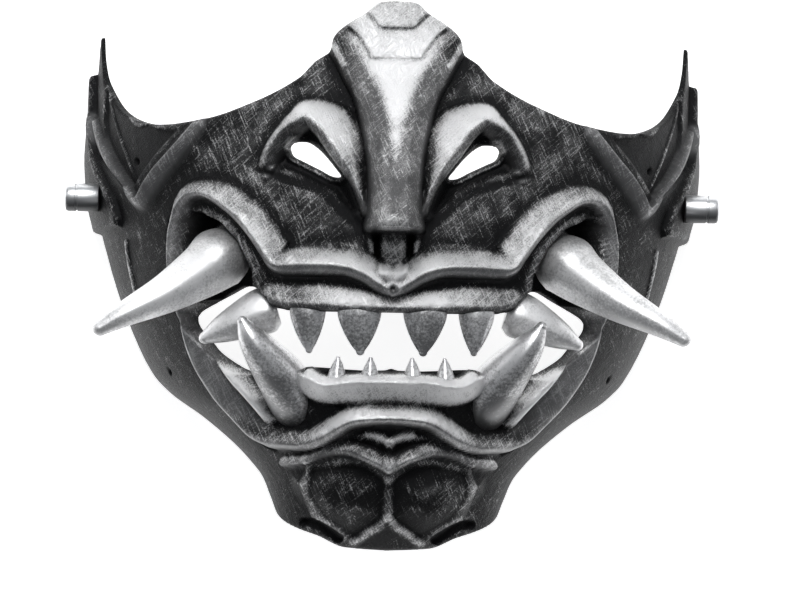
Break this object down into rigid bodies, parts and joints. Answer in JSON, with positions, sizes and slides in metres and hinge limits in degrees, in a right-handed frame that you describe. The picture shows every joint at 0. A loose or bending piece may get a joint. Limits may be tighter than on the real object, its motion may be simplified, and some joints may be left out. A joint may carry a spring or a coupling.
{
  "type": "samurai face guard",
  "caption": "Rigid half mask in the style of a samurai face guard, with a demon's open mouth, outward tusks and side studs for a strap.",
  "frame": {"origin": "centre of the footprint at the floor, where the rear rim rests", "axes": "+Z out of the face, +Y towards the brow, +X to the right as seen from the front"},
  "size_m": [0.1944, 0.158, 0.0994],
  "materials": {
    "antique_silver": "satin silver paint over black, rubbed back on the raised forms",
    "tusk_silver": "brushed silver paint with dark roots",
    "tooth_silver": "satin grey silver paint",
    "stud_steel": "turned and polished"
  },
  "bodies": {
    "root": {"mask_shell": "antique_silver", "upper_tusk_left": "tusk_silver", "corner_tusk_left": "tusk_silver", "lower_fang_left": "tooth_silver", "side_peg_left": "stud_steel", "upper_tusk_right": "tusk_silver", "corner_tusk_right": "tusk_silver", "lower_fang_right": "tooth_silver", "side_peg_right": "stud_steel", "upper_tooth_1": "tooth_silver", "upper_tooth_2": "tooth_silver", "upper_tooth_3": "tooth_silver", "upper_tooth_4": "tooth_silver", "lower_tooth_1": "tooth_silver", "lower_tooth_2": "tooth_silver", "lower_tooth_3": "tooth_silver", "lower_tooth_4": "tooth_silver"}
  },
  "joints": []
}
